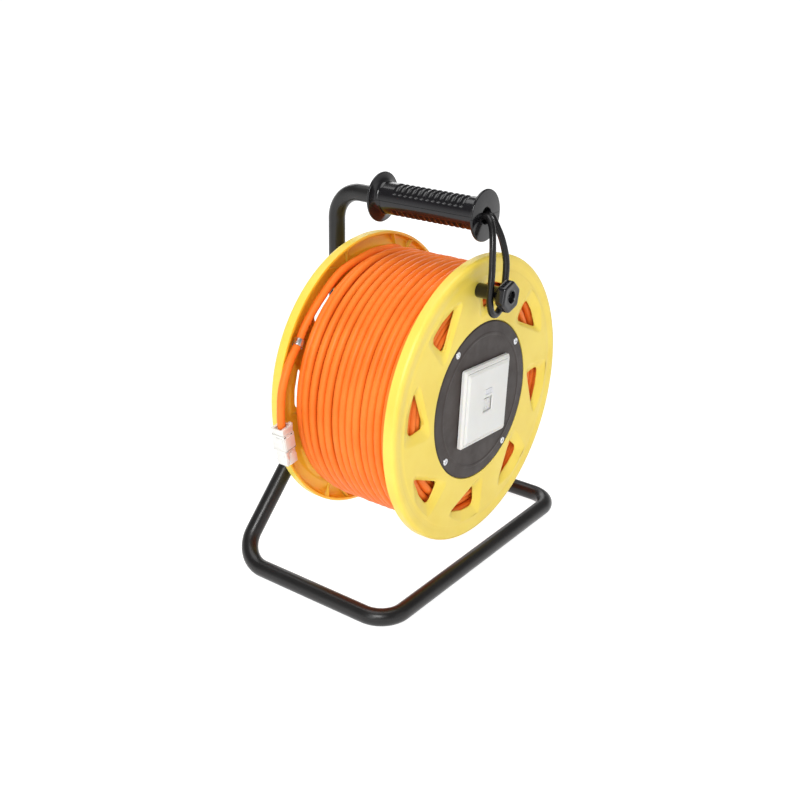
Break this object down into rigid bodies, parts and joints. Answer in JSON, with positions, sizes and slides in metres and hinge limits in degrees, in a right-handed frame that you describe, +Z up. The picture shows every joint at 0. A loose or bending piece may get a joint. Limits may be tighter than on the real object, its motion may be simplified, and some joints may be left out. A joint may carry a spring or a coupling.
{
  "type": "network cable reel",
  "caption": "Portable cable reel on a bent tube stand: flanged drum with crank knob, panel socket, wound cable with jack, and a carrying grip with a retaining loop.",
  "frame": {"origin": "centre of the bounding box, on the floor the stand rests on", "axes": "+Z up, -Y the drum's front with the socket and crank, drum axis along Y, handle post at +Y"},
  "size_m": [0.3314, 0.234, 0.3878],
  "materials": {
    "black_tube": "satin black powder coat",
    "steel": "zinc plated",
    "black_gloss": "glossy black",
    "black_plastic": "matt black",
    "panel_black": "satin dark grey",
    "yellow": "moulded, semi-gloss",
    "white": "moulded white",
    "clear_label": "clear over white paper",
    "jack_metal": "die-cast, nickel plated",
    "orange_jacket": "satin polyurethane jacket",
    "black_cord": "smooth black"
  },
  "bodies": {
    "frame": {"stand_tube": "black_tube", "handle_tube": "black_tube", "post_plug": "black_plastic", "axle_plate": "black_tube", "axle": "steel", "axle_clip": "steel", "axle_washer_front": "steel", "axle_washer_back": "steel", "axle_nut": "steel", "grip_upper": "black_gloss", "grip_lower": "black_gloss", "grip_screw_1": "steel", "grip_screw_2": "steel", "loop_plug": "black_plastic"},
    "drum": {"tie_screw_1": "steel", "tie_screw_2": "steel", "tie_screw_3": "steel", "tie_screw_4": "steel", "panel_screw_1": "steel", "panel_screw_2": "steel", "panel_screw_3": "steel", "panel_screw_4": "steel", "crank_spindle": "steel", "tail_clip": "steel", "tail_clip_screw": "steel", "module_holder": "steel", "bush_front": "black_plastic", "bush_back": "black_plastic", "socket_panel": "panel_black", "front_flange": "yellow", "back_flange": "yellow", "drum_core": "yellow", "outlet_frame": "white", "outlet_cover": "white", "jack_latch": "white", "label_field": "clear_label", "rj45_module": "jack_metal", "jack_cap": "jack_metal", "jack_body": "jack_metal", "jack_port": "jack_metal", "cable_pack": "orange_jacket", "cable_tail": "orange_jacket"},
    "crank": {"crank_knob": "black_gloss"},
    "shutter": {"port_shutter": "white"},
    "loop": {"retaining_loop": "black_cord"}
  },
  "joints": [
    {"name": "drum_spin", "type": "hinge", "parent": "frame", "child": "drum", "pos_m": [0, 0, 0.1813], "axis": [0, 1, 0], "continuous": true},
    {"name": "crank_spin", "type": "hinge", "parent": "drum", "child": "crank", "pos_m": [-0.015, -0.09, 0.2973], "axis": [0, 1, 0], "continuous": true},
    {"name": "shutter_slide", "type": "slide", "parent": "drum", "child": "shutter", "axis": [-0.0471, 0, -0.9989], "range_m": [0, 0.0116], "stiffness_N_per_m": 20},
    {"name": "loop_swing", "type": "hinge", "parent": "frame", "child": "loop", "pos_m": [0, -0.0745, 0.3636], "axis": [-1, 0, 0], "range_deg": [0, 70], "deforming": ["retaining_loop"]}
  ]
}
